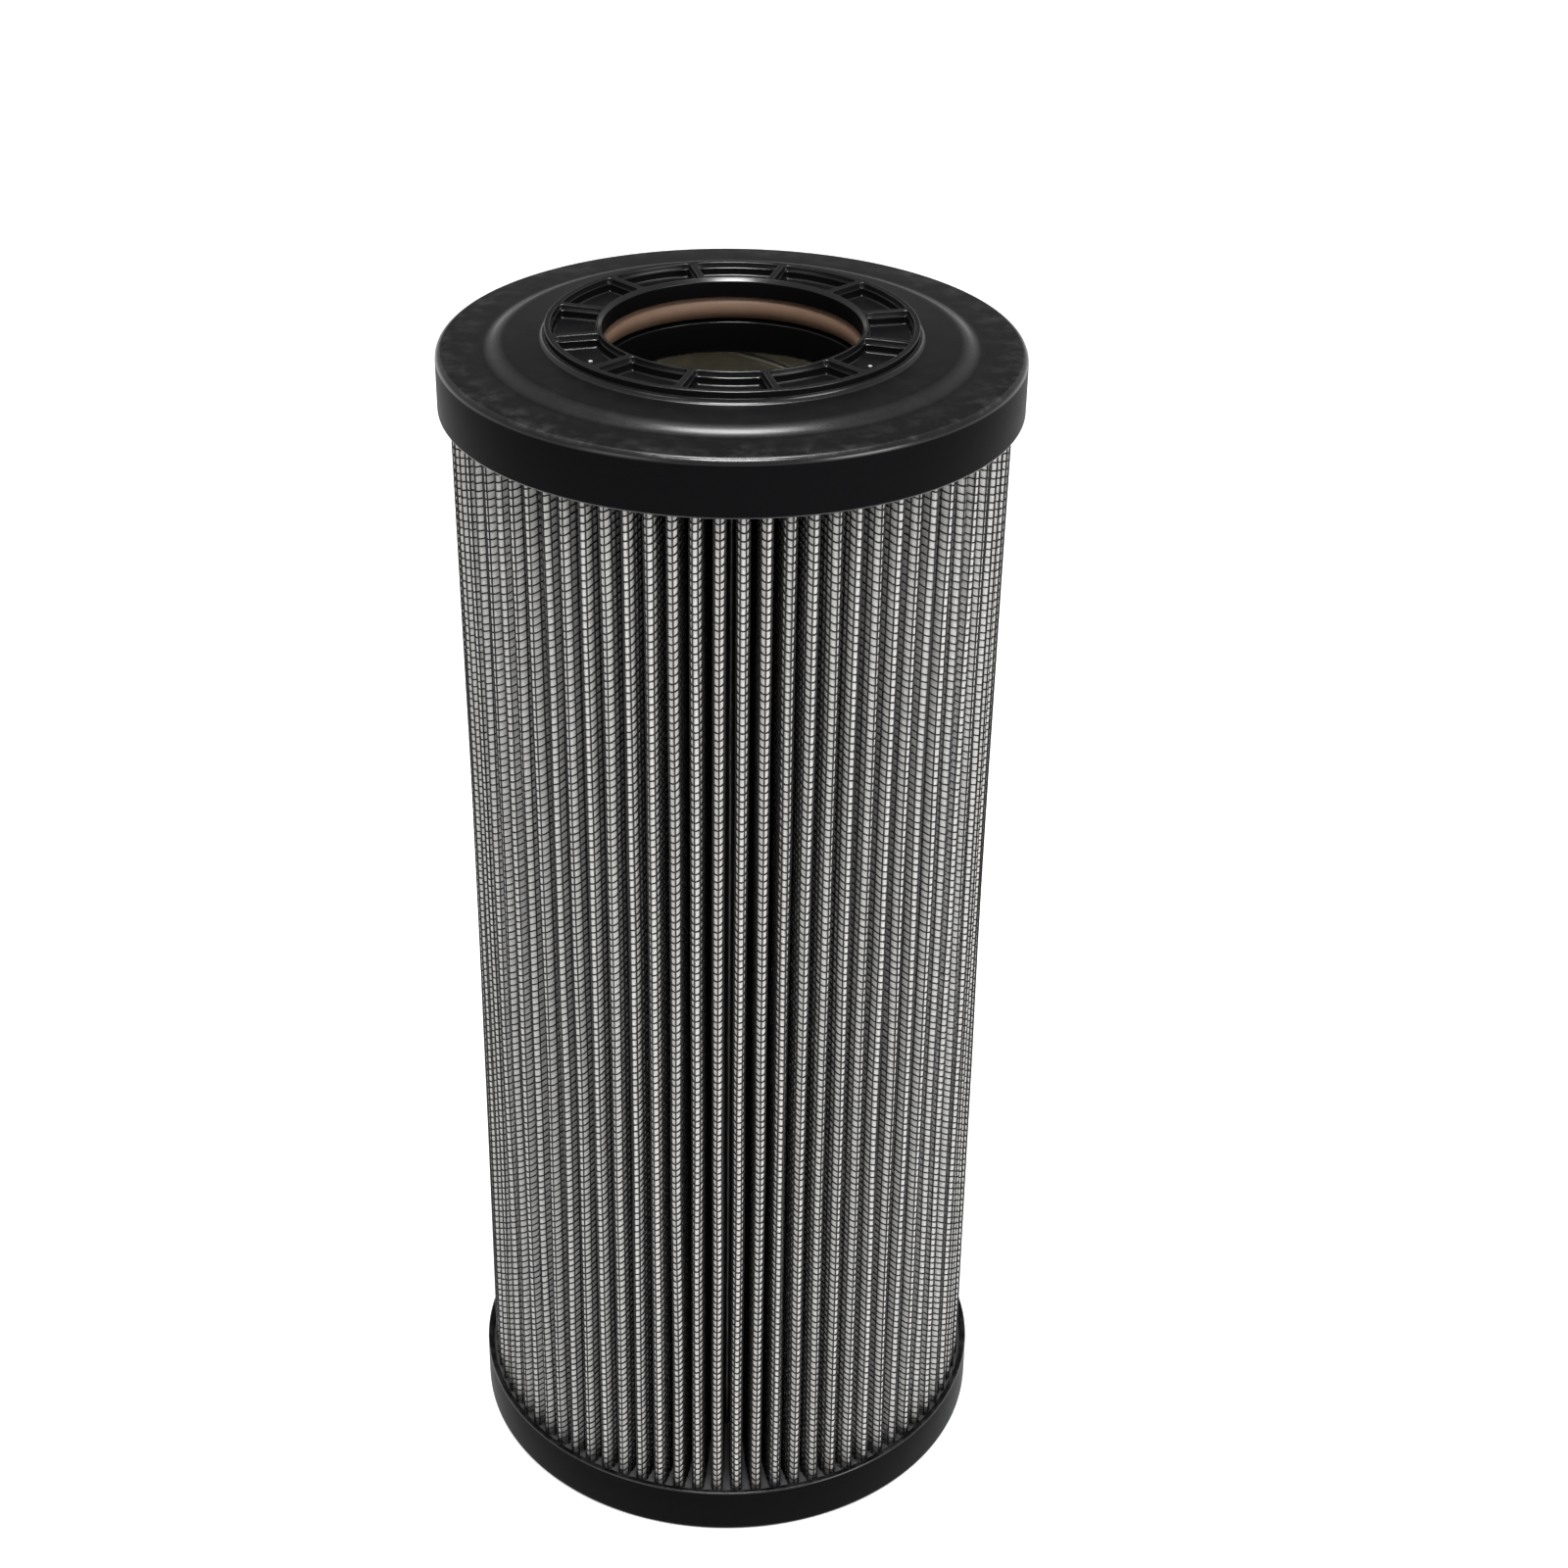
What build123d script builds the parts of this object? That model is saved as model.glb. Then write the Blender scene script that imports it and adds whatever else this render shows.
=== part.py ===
"""Pleated filter element for a hydraulic return line.

A pleated pack of glass media, with a coated wire mesh over its outside, stands between
two moulded end caps and is glued into both. A perforated steel tube carries it from the
inside. The top cap has the bore that plugs on to the filter head, with a seal ring in a
groove. Oil comes in through the pleats and leaves through the tube and the bore.

Millimetres. The origin is on the ground at the centre of the bottom cap, and +Z runs up
the axis to the rim of the top cap.
"""
import os
from math import pi
from build123d import *

os.makedirs("parts", exist_ok=True)

# ---------------------------------------------------------------- driving dimensions
element_length = 217.1        # ground to the rims round the bore
cap_d = 95.0                  # top cap, the widest piece

# Top cap, levels counted down from the rims
flat_drop = 3.5               # outer flat below the rims
rim_round = 1.4               # rounding between the outer flat and the skirt
rim_facets = 3                # flats round that rounding
skirt_height = 8.0            # straight outside of the skirt, below its rounding
skirt_wall = 1.25
plate_wall = 2.6              # the plate under the outer flat
shoulder_d = 79.2             # foot of the raised shoulder on the outer flat
shoulder_rise = 1.2
shoulder_width = 2.4
shoulder_round = 0.7          # sloped edge on top of the shoulder
boss_d = 60.1                 # ring that stands round the pockets
boss_fillet = 0.5             # sloped foot of the ring
boss_lead = 1.8               # the shoulder's top climbs to this far below the rims
rim_wall = 0.95               # the ring's own wall at the rim
bore_rim_wall = 0.85          # rim between the bore and the pockets
pocket_depth = 2.2
pocket_ledge_depth = 0.9      # depth of the ledge that runs round each pocket
pocket_ledge_width = 0.3
rib_count = 12
rib_wall = 1.1
rib_turn = 13.5               # first rib from +X, degrees

# Bore and its seal
bore_d = 41.8
bore_lead = 0.3               # broken edge at the mouth of the bore
seal_cord = 4.0               # thickness of the seal ring's cord
seal_facets = 8               # flats round the cord's section
seal_proud = 0.2              # how far the seal stands into the bore
seal_drop = 3.3               # top of the seal groove below the rims
groove_side_play = 0.15       # groove is taller than the seal by this, above and below
groove_wall = 1.0             # neck left outside the groove
neck_length = 13.1            # rims to the neck's lower end

# Core tube
core_wall = 0.6
core_fit = 0.3                # tube slides over the neck and over the spigot
core_hole_d = 9.0
core_hole_facets = 8
core_hole_rows = 3
core_hole_columns = 4
core_hole_margin = 32.0       # first and last row from the tube's ends

# Pleat pack
pleat_count = 78
crest_gap = 0.7               # pleat crests to the inside of the skirt
pack_fit = 0.3                # pleat valleys to the tube
crest_width = 2.06            # one pleat across its crest
crest_facets = 4              # flats round the bend of a crest
mesh_tip = 0.8                # crest tip to the media folded inside it
valley_gap = 0.34             # between neighbouring pleats at the foot
mesh_wall = 0.3
media_wall = 0.5

# Bottom cap
rim_gap = 0.5                 # pleat crests to the inside of the rim
bottom_rim_wall = 1.1
bottom_rim_height = 9.1
bottom_floor = 3.2
bottom_round = 0.8            # broken edge between the rim and the ground
spigot_height = 6.0
spigot_wall = 1.6

# Potting
potting_depth = 4.0

# ---------------------------------------------------------------- worked out from them
cap_r = cap_d / 2
flat_z = element_length - flat_drop
edge_z = flat_z - rim_round
skirt_z = edge_z - skirt_height
plate_z = flat_z - plate_wall
neck_z = element_length - neck_length
shoulder_r = shoulder_d / 2
shoulder_z = flat_z + shoulder_rise
boss_r = boss_d / 2
boss_foot_z = element_length - boss_lead

bore_r = bore_d / 2
seal_inner_r = bore_r - seal_proud
groove_r = seal_inner_r + seal_cord
groove_top_z = element_length - seal_drop
groove_bottom_z = groove_top_z - seal_cord - 2 * groove_side_play
neck_r = groove_r + groove_wall

core_inner_r = neck_r + core_fit
core_r = core_inner_r + core_wall
crest_r = cap_r - skirt_wall - crest_gap
valley_r = core_r + pack_fit
pleat_angle = 360 / pleat_count
bottom_rim_inner_r = crest_r + rim_gap
bottom_r = bottom_rim_inner_r + bottom_rim_wall
spigot_r = core_inner_r - core_fit

pack_top_z = plate_z - potting_depth
pack_bottom_z = bottom_floor + potting_depth
pack_length = pack_top_z - pack_bottom_z


# ---------------------------------------------------------------- top end cap
pocket_inner_r = bore_r + bore_rim_wall
pocket_outer_r = boss_r - rim_wall


def pocket_ring(wall):
    """Twelve pockets between the ribs, each kept `wall` inside its walls."""
    Circle(pocket_outer_r - wall)
    Circle(pocket_inner_r + wall, mode=Mode.SUBTRACT)
    with PolarLocations(0, rib_count, start_angle=rib_turn):
        Rectangle(
            pocket_outer_r, rib_wall + 2 * wall,
            align=(Align.MIN, Align.CENTER), mode=Mode.SUBTRACT,
        )


# the rounded rim, from the outer flat over to the skirt
rim_points = [
    Vector(cap_r - rim_round, edge_z) + Vector(0, rim_round).rotate(Axis.Z, -90 * step / rim_facets)
    for step in range(rim_facets + 1)
]

with BuildPart() as top_end_cap:
    with BuildSketch(Plane.XZ):
        with BuildLine():
            # up the bore, round the seal groove, and over the two rims
            Polyline(
                (neck_r, plate_z), (neck_r, neck_z), (bore_r, neck_z),
                (bore_r, groove_bottom_z), (groove_r, groove_bottom_z),
                (groove_r, groove_top_z), (bore_r, groove_top_z),
                (bore_r, element_length - bore_lead), (bore_r + bore_lead, element_length),
                (boss_r, element_length), (boss_r, boss_foot_z + boss_fillet),
                (boss_r + boss_fillet, boss_foot_z),
                (shoulder_r - shoulder_width - shoulder_round, shoulder_z),
                (shoulder_r - shoulder_width, shoulder_z - shoulder_round / 4),
                (shoulder_r, flat_z),
                *rim_points,
                # down the skirt and back under the plate
                (cap_r, skirt_z), (cap_r - skirt_wall, skirt_z), (cap_r - skirt_wall, plate_z),
                close=True,
            )
        make_face()
    revolve(axis=Axis.Z)
    with BuildSketch(Plane.XY.offset(element_length)):
        pocket_ring(pocket_ledge_width)
    extrude(amount=-pocket_depth, mode=Mode.SUBTRACT)
    with BuildSketch(Plane.XY.offset(element_length)):
        pocket_ring(0)
    extrude(amount=-pocket_ledge_depth, mode=Mode.SUBTRACT)


# ---------------------------------------------------------------- seal ring
with BuildPart() as bore_seal:
    with BuildSketch(Plane.XZ):
        with Locations((groove_r - seal_cord / 2, (groove_top_z + groove_bottom_z) / 2)):
            RegularPolygon(seal_cord / 2, seal_facets)
    revolve(axis=Axis.Z)


# ---------------------------------------------------------------- core tube
with BuildPart() as center_tube:
    tube_length = plate_z - bottom_floor
    with BuildSketch(Plane.XY.offset(bottom_floor)):
        Circle(core_r)
        Circle(core_inner_r, mode=Mode.SUBTRACT)
    extrude(amount=tube_length)
    row_pitch = (tube_length - 2 * core_hole_margin) / (core_hole_rows - 1)
    for row in range(core_hole_rows):
        row_z = bottom_floor + core_hole_margin + row * row_pitch
        for column in range(core_hole_columns):
            # every other row is turned by half a step, as in a staggered perforation
            turn = (column + row % 2 / 2) * 360 / core_hole_columns
            drill = Plane.XZ.rotated((0, 0, turn)).offset(core_inner_r - core_wall)
            drill.origin = drill.origin + Vector(0, 0, row_z)
            with BuildSketch(drill):
                RegularPolygon(core_hole_d / 2, core_hole_facets)
            extrude(amount=3 * core_wall, mode=Mode.SUBTRACT)


# ---------------------------------------------------------------- pleat pack
# Each outline of a fold is given by its foot radius, its half width there, its crest
# radius and its half width there: outside of the mesh, the face between mesh and media,
# and the inside of the media.
foot_mesh_r = valley_r + media_wall + mesh_wall
foot_half = (2 * pi * foot_mesh_r / pleat_count - valley_gap) / 2
crest_half = crest_width / 2
outside = (foot_mesh_r, foot_half, crest_r - crest_half, crest_half)
between = (foot_mesh_r - mesh_wall, foot_half - mesh_wall, crest_r - mesh_tip, crest_half - mesh_wall)
inside = (
    valley_r, between[1] - media_wall,
    crest_r - mesh_tip - media_wall, between[3] - media_wall,
)


def along_pleat(index, radius, side):
    """A point at this radius along one pleat, and this far to its side."""
    return Vector(radius, side, 0).rotate(Axis.Z, index * pleat_angle)


def folded_pack(foot_radius, foot_side, crest_radius, crest_side, bend_facets=1):
    """The zigzag outline of the whole pack. A crest is a half round bend in flats, or one flat."""
    corners = []
    for index in range(pleat_count):
        corners.append(along_pleat(index, foot_radius, -foot_side))
        for step in range(bend_facets + 1):
            bend = Vector(0, -crest_side, 0).rotate(Axis.Z, 180 * step / bend_facets)
            tip = bend.X if bend_facets > 1 else 0
            corners.append(along_pleat(index, crest_radius + tip, bend.Y))
        corners.append(along_pleat(index, foot_radius, foot_side))
    with BuildLine() as outline:
        Polyline(*corners, close=True)
    return outline.line


with BuildPart() as outer_support_mesh:
    with BuildSketch(Plane.XY.offset(pack_bottom_z)):
        make_face(folded_pack(*outside, bend_facets=crest_facets))
        make_face(folded_pack(*between), mode=Mode.SUBTRACT)
    extrude(amount=pack_length)


with BuildPart() as filter_media:
    with BuildSketch(Plane.XY.offset(pack_bottom_z)):
        make_face(folded_pack(*between))
        make_face(folded_pack(*inside), mode=Mode.SUBTRACT)
    extrude(amount=pack_length)


# ---------------------------------------------------------------- potting
def potting_ring(level, outer_radius):
    """A flat ring of adhesive in a cap, round the core tube."""
    with BuildPart() as ring:
        with BuildSketch(Plane.XY.offset(level)):
            Circle(outer_radius)
            Circle(core_r, mode=Mode.SUBTRACT)
        extrude(amount=potting_depth)
    return ring


top_potting = potting_ring(pack_top_z, cap_r - skirt_wall)
bottom_potting = potting_ring(bottom_floor, bottom_rim_inner_r)


# ---------------------------------------------------------------- bottom end cap
with BuildPart() as bottom_end_cap:
    with BuildSketch(Plane.XZ):
        with BuildLine():
            Polyline(
                (0, 0), (bottom_r - bottom_round, 0),
                (bottom_r, bottom_round), (bottom_r, bottom_rim_height),
                (bottom_rim_inner_r, bottom_rim_height), (bottom_rim_inner_r, bottom_floor),
                (spigot_r, bottom_floor), (spigot_r, bottom_floor + spigot_height),
                (spigot_r - spigot_wall, bottom_floor + spigot_height),
                (spigot_r - spigot_wall, bottom_floor), (0, bottom_floor),
                close=True,
            )
        make_face()
    revolve(axis=Axis.Z)


# ---------------------------------------------------------------- names and files
pieces = {
    "top_end_cap": top_end_cap,
    "bore_seal": bore_seal,
    "center_tube": center_tube,
    "outer_support_mesh": outer_support_mesh,
    "filter_media": filter_media,
    "top_potting": top_potting,
    "bottom_potting": bottom_potting,
    "bottom_end_cap": bottom_end_cap,
}
for name, piece in pieces.items():
    piece.part.label = name
    export_step(piece.part, f"parts/{name}.step")
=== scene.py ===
# %% [markdown]
# # A pleated filter element
# The element is two black moulded caps with a pleated pack glued between them. A coated
# wire mesh is folded over the white glass media, and a perforated steel tube stands
# inside. The solids already have the right sizes and places. This lesson gives each piece
# its surface: turned mouldings with rounded edges, real wires, and procedural materials.

# %% Load the frame
from math import asin, cos, pi, radians, sin, tan

import bmesh
import bpy
from mathutils import Matrix, Vector


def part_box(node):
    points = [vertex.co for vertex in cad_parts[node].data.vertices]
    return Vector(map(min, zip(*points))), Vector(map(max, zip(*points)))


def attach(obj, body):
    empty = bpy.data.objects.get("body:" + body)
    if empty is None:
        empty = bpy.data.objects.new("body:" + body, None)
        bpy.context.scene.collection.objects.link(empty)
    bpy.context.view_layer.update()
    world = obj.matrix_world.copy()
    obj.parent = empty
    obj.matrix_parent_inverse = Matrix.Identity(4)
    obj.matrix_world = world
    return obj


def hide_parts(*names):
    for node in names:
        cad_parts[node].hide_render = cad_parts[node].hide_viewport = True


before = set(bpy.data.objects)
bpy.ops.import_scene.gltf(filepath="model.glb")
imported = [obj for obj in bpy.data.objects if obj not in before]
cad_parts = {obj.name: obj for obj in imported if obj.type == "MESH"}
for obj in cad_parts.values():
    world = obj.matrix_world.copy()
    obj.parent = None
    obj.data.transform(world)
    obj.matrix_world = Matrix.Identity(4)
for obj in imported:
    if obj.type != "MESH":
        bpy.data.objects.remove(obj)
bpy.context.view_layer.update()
print("solids:", ", ".join(sorted(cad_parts)))

# %% [markdown]
# ## Sizes
# Everything is worked out in millimetres, because that is how a moulder or a wire weaver
# thinks, and each mesh is turned to metres when it is made. Outer sizes are read from the
# solids' boxes, so a piece can't drift away from the solid that it stands for.

# %% Sizes read from the solids
MM = 0.001


def box_mm(node):
    """The lowest and highest corner of a solid, in millimetres."""
    low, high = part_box(node)
    return low / MM, high / MM


cap_low, cap_high = box_mm("top_end_cap")
pack_low, pack_high = box_mm("outer_support_mesh")
foot_low, foot_high = box_mm("bottom_end_cap")
seal_low, seal_high = box_mm("bore_seal")
tube_low, tube_high = box_mm("center_tube")
top_z, cap_r = cap_high.z, cap_high.x
crest_r = pack_high.x
print(f"cap radius {cap_r:.2f}, top {top_z:.2f}, pleat crests {crest_r:.2f}")

# %% Sizes of the mouldings
flat_z = top_z - 3.5
plate_z = flat_z - 2.6
neck_z = top_z - 13.1
skirt_z = cap_low.z
skirt_wall = 1.25
boss_r = 30.05
bore_r = 20.9
seal_cord = 4.0
groove_side_play = 0.15
groove_r = seal_high.x
groove_top = top_z - 3.3
groove_bottom = groove_top - seal_cord - 2 * groove_side_play
neck_r = groove_r + 1.0
pocket_count = 12
rib_turn = radians(13.5)
turns_per_pocket = 18
turns = pocket_count * turns_per_pocket

# %% [markdown]
# ## Turned pieces
# The caps, the seal and the potting are round, so each is a profile carried round the
# axis. A mould never has a knife edge, so every corner of a profile states its own radius.
# The small rounds matter more than any texture: they catch the thin bright lines that
# make black plastic readable.


# %% Rounded profiles
def rounded(corners, steps=5):
    """(radius, height) points of a profile whose corners are (radius, height, round)."""
    points = []
    for number, (x, z, size) in enumerate(corners):
        here = Vector((x, z))
        if size == 0 or number in (0, len(corners) - 1):
            points.append(here)
            continue
        before = (Vector(corners[number - 1][:2]) - here).normalized()
        after = (Vector(corners[number + 1][:2]) - here).normalized()
        half = before.angle(after) / 2
        reach = size / tan(half)
        middle = here + (before + after).normalized() * size / sin(half)
        first, last = here + before * reach - middle, here + after * reach - middle
        for step in range(steps + 1):
            spoke = first.lerp(last, step / steps).normalized() * size
            points.append(middle + spoke)
    return points


# %% From a profile to a mesh
def turned_faces(mesh, profile, closed):
    """Adds the surface that a profile sweeps round the axis to a bmesh."""
    rings = []
    for point in profile:
        if point.x < 1e-6:
            rings.append([mesh.verts.new((0, 0, point.y))] * turns)
            continue
        rings.append([
            mesh.verts.new((point.x * cos(angle), point.x * sin(angle), point.y))
            for angle in (rib_turn + 2 * pi * turn / turns for turn in range(turns))
        ])
    pairs = list(zip(rings, rings[1:] + rings[:1] if closed else rings[1:]))
    for ring, following in pairs:
        for turn in range(turns):
            beside = (turn + 1) % turns
            corners = [ring[turn], ring[beside], following[beside], following[turn]]
            corners = list(dict.fromkeys(corners))
            if len(corners) > 2:
                mesh.faces.new(corners)


def to_piece(name, mesh, sharp=35):
    """Turns a bmesh in millimetres into an object in metres, smooth but for its sharp edges."""
    bmesh.ops.remove_doubles(mesh, verts=mesh.verts, dist=1e-4)
    bmesh.ops.recalc_face_normals(mesh, faces=mesh.faces)
    bmesh.ops.scale(mesh, vec=(MM, MM, MM), verts=mesh.verts)
    data = bpy.data.meshes.new(name)
    mesh.to_mesh(data)
    mesh.free()
    data.shade_smooth()
    data.set_sharp_from_angle(angle=radians(sharp))
    piece = bpy.data.objects.new(name, data)
    bpy.context.scene.collection.objects.link(piece)
    return piece


def dress(piece, slot, material, *nodes):
    """Gives a finished piece its body and its material, and hides the solids that it stands for."""
    piece.data.materials.clear()
    piece.data.materials.append(material)
    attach(piece, "root")
    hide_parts(*nodes)
    size = sum(len(face.vertices) - 2 for face in piece.data.polygons)
    print(f"{piece.name}: {size} triangles")


# %% [markdown]
# ## Materials
# A node material is a small recipe. The helper below adds a node, sets its values and
# links it in one line, so that each recipe reads from top to bottom. Patterns follow
# Object coordinates, in metres, so a scale of 1000 means one feature to a millimetre.


# %% Node helpers
def put(tree, kind, *inputs, **settings):
    """Adds a node. Inputs fill its sockets in order: a socket is linked, a value is set."""
    made = tree.nodes.new(kind)
    for name, value in settings.items():
        setattr(made, name, value)
    for socket, value in zip(made.inputs, inputs):
        if isinstance(value, bpy.types.NodeSocket):
            tree.links.new(value, socket)
        elif value is not None:
            socket.default_value = value
    return made


def calc(tree, operation, *values):
    """One step of arithmetic in a node tree."""
    return put(tree, "ShaderNodeMath", *values, operation=operation).outputs[0]


def ranged(tree, value, low, high, to_low, to_high):
    """A value carried from one range to another, and held at its ends."""
    return put(tree, "ShaderNodeMapRange", value, low, high, to_low, to_high).outputs[0]


def noise(tree, place, scale, detail=3.0, roughness=0.55):
    """A soft random value between 0 and 1 that changes over the surface."""
    made = put(tree, "ShaderNodeTexNoise", place)
    made.inputs["Scale"].default_value = scale
    made.inputs["Detail"].default_value = detail
    made.inputs["Roughness"].default_value = roughness
    return made.outputs[0]


def blend(tree, amount, first, second):
    """A colour between two colours."""
    made = put(tree, "ShaderNodeMix", data_type="RGBA")
    for name, value in (("Factor_Float", amount), ("A_Color", first), ("B_Color", second)):
        socket = next(s for s in made.inputs if s.identifier == name)
        if isinstance(value, bpy.types.NodeSocket):
            tree.links.new(value, socket)
        else:
            socket.default_value = value
    return next(s for s in made.outputs if s.identifier == "Result_Color")


def start_material(name, **values):
    """A material whose shader has these fixed values, its tree, shader and place."""
    material = bpy.data.materials.new(name)
    material.use_nodes = True
    tree = material.node_tree
    shader = tree.nodes["Principled BSDF"]
    for socket, value in values.items():
        shader.inputs[socket.replace("_", " ")].default_value = value
    place = put(tree, "ShaderNodeTexCoord").outputs["Object"]
    return material, tree, shader, place


def bumped(tree, shader, height, distance, strength=1.0):
    """Lets a height in the recipe tilt the surface, by this many millimetres."""
    bump = put(tree, "ShaderNodeBump")
    bump.inputs["Strength"].default_value = strength
    bump.inputs["Distance"].default_value = distance * MM
    tree.links.new(height, bump.inputs["Height"])
    tree.links.new(bump.outputs[0], shader.inputs["Normal"])


# %% [markdown]
# ### Moulded cap plastic
# Glass-filled nylon comes out of the mould nearly black and satin. Handling leaves pale,
# dull scuffs, mostly on the outer flat where it rubs on packing. A broad noise places the
# scuffs, a fine noise gives the grain of the short glass fibres.


# %% Cap plastic
def cap_plastic():
    """Black moulded plastic: grained flats, polished roundings, dull scuffs by the rim."""
    material, tree, shader, place = start_material("cap_plastic")
    broad = noise(tree, place, 210.0, 6.0, 0.7)
    grain = noise(tree, place, 1500.0, 2.0)
    spot = put(tree, "ShaderNodeSeparateXYZ", place).outputs
    radius = calc(tree, "SQRT", calc(
        tree, "ADD", calc(tree, "MULTIPLY", spot[0], spot[0]), calc(tree, "MULTIPLY", spot[1], spot[1])
    ))
    rim = ranged(tree, radius, 0.040, 0.0465, 0.12, 1.0)
    facing = put(tree, "ShaderNodeTexCoord").outputs["Normal"]
    up = calc(tree, "ABSOLUTE", put(tree, "ShaderNodeSeparateXYZ", facing).outputs[2])
    scuff = calc(tree, "MULTIPLY", ranged(tree, broad, 0.45, 0.68, 0.0, 1.0), rim)
    scuff = calc(tree, "MULTIPLY", scuff, ranged(tree, up, 0.5, 0.9, 0.0, 1.0))
    rub = calc(tree, "MULTIPLY", scuff, noise(tree, place, 420.0, 3.0))
    tree.links.new(
        blend(tree, rub, (0.004, 0.004, 0.0046, 1), (0.05, 0.049, 0.048, 1)),
        shader.inputs["Base Color"],
    )
    # flats and straight walls keep the grain of the mould, and what slopes is polished
    polish = calc(
        tree, "MULTIPLY", ranged(tree, up, 0.9, 0.985, 1.0, 0.0), ranged(tree, up, 0.06, 0.35, 0.0, 1.0)
    )
    grained = ranged(tree, up, 0.5, 0.95, 0.02, 0.075)
    sheen = calc(tree, "MULTIPLY_ADD", polish, 0.6, grained)
    tree.links.new(sheen, shader.inputs["Specular IOR Level"])
    dull = calc(tree, "MULTIPLY_ADD", polish, -0.19, ranged(tree, rub, 0.0, 0.6, 0.42, 0.6))
    tree.links.new(dull, shader.inputs["Roughness"])
    bumped(tree, shader, calc(tree, "ADD", grain, broad), 0.015, 0.25)
    return material


black_plastic = cap_plastic()


# %% [markdown]
# ### Seal rubber, wire coat, potting and steel
# The seal is brown fluoro rubber: dull, with a faint bloom. The wires carry a thin black
# coat that pools where they cross. Potting is poured adhesive, grey and slightly uneven.
# The core tube is rolled from bright sheet and wears a film of oil, so its tint wanders.


# %% Seal rubber
def seal_rubber():
    """Dull brown rubber with a faint bloom."""
    material, tree, shader, place = start_material(
        "seal_rubber", Roughness=0.55, Specular_IOR_Level=0.35
    )
    bloom = noise(tree, place, 300.0, 4.0)
    tree.links.new(
        blend(tree, bloom, (0.15, 0.09, 0.058, 1), (0.21, 0.13, 0.088, 1)),
        shader.inputs["Base Color"],
    )
    bumped(tree, shader, noise(tree, place, 2500.0), 0.01, 0.3)
    return material


# %% Wire coat
def wire_coat():
    """Black coat on woven wire, thicker and glossier in places."""
    material, tree, shader, place = start_material("wire_coat", Specular_IOR_Level=0.4)
    pooled = noise(tree, place, 700.0, 3.0)
    tree.links.new(
        blend(tree, pooled, (0.008, 0.0075, 0.008, 1), (0.02, 0.018, 0.019, 1)),
        shader.inputs["Base Color"],
    )
    tree.links.new(ranged(tree, pooled, 0.3, 0.7, 0.38, 0.6), shader.inputs["Roughness"])
    bumped(tree, shader, pooled, 0.02, 0.3)
    return material


# %% Potting
def potting_resin():
    """Poured grey adhesive with a slightly uneven skin."""
    material, tree, shader, place = start_material(
        "potting_resin", Roughness=0.48, Specular_IOR_Level=0.5
    )
    patches = noise(tree, place, 160.0, 4.0)
    tree.links.new(
        blend(tree, patches, (0.09, 0.09, 0.095, 1), (0.17, 0.17, 0.175, 1)),
        shader.inputs["Base Color"],
    )
    bumped(tree, shader, patches, 0.25, 0.5)
    return material


# %% Core steel
def core_steel():
    """Bright rolled sheet under a film of oil."""
    material, tree, shader, place = start_material("core_steel", Metallic=0.7)
    film = noise(tree, place, 70.0, 4.0, 0.6)
    tree.links.new(
        blend(tree, film, (0.42, 0.4, 0.3, 1), (0.85, 0.82, 0.72, 1)),
        shader.inputs["Base Color"],
    )
    tree.links.new(ranged(tree, film, 0.3, 0.7, 0.2, 0.38), shader.inputs["Roughness"])
    bumped(tree, shader, film, 0.5, 0.5)
    return material


# %% [markdown]
# ## The top cap
# The cap's face has a ring of twelve pockets between thin ribs, the way a moulder cores
# out a thick boss so that it doesn't sink as it cools. One pocket is a stack of outlines:
# each outline is the pocket's plan, drawn in by a little, at its own depth. Bridging the
# outlines gives the rounded rim, the wall, the ledge, the second wall and the filleted
# floor in one go. The outermost outline is the sector that the pocket sits in, and its
# points fall on the same turns as the turned part of the cap, so the two close up.

# %% Sizes of a pocket
pocket_inner_r = bore_r + 0.85
pocket_outer_r = boss_r - 0.95
rib_half = 0.55
pocket_depth = 2.2
ledge_depth = 0.9
ledge_width = 0.3
edge_round = 0.16
corner_round = 0.7
mouth = 0.55
field_inner_r = bore_r + mouth + 0.06
field_outer_r = boss_r - 0.2
half_sector = pi / pocket_count
side_points = 6
corner_points = 4


def polar(radius, angle):
    """A point on the cap's face."""
    return Vector((radius * cos(angle), radius * sin(angle)))


def sector_outline():
    """The sector round one pocket: its corners are repeated to pair with round corners."""
    arc = [half_sector * (2 * turn / turns_per_pocket - 1) for turn in range(turns_per_pocket + 1)]
    steps = [number / (side_points + 1) for number in range(1, side_points + 1)]
    outline = []
    outline += [polar(field_outer_r, arc[0])] * corner_points
    outline += [polar(field_outer_r, angle) for angle in arc[1:-1]]
    outline += [polar(field_outer_r, arc[-1])] * corner_points
    outline += [polar(field_outer_r + (field_inner_r - field_outer_r) * s, arc[-1]) for s in steps]
    outline += [polar(field_inner_r, arc[-1])] * corner_points
    outline += [polar(field_inner_r, angle) for angle in reversed(arc[1:-1])]
    outline += [polar(field_inner_r, arc[0])] * corner_points
    outline += [polar(field_inner_r + (field_outer_r - field_inner_r) * s, arc[0]) for s in steps]
    return outline


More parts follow.
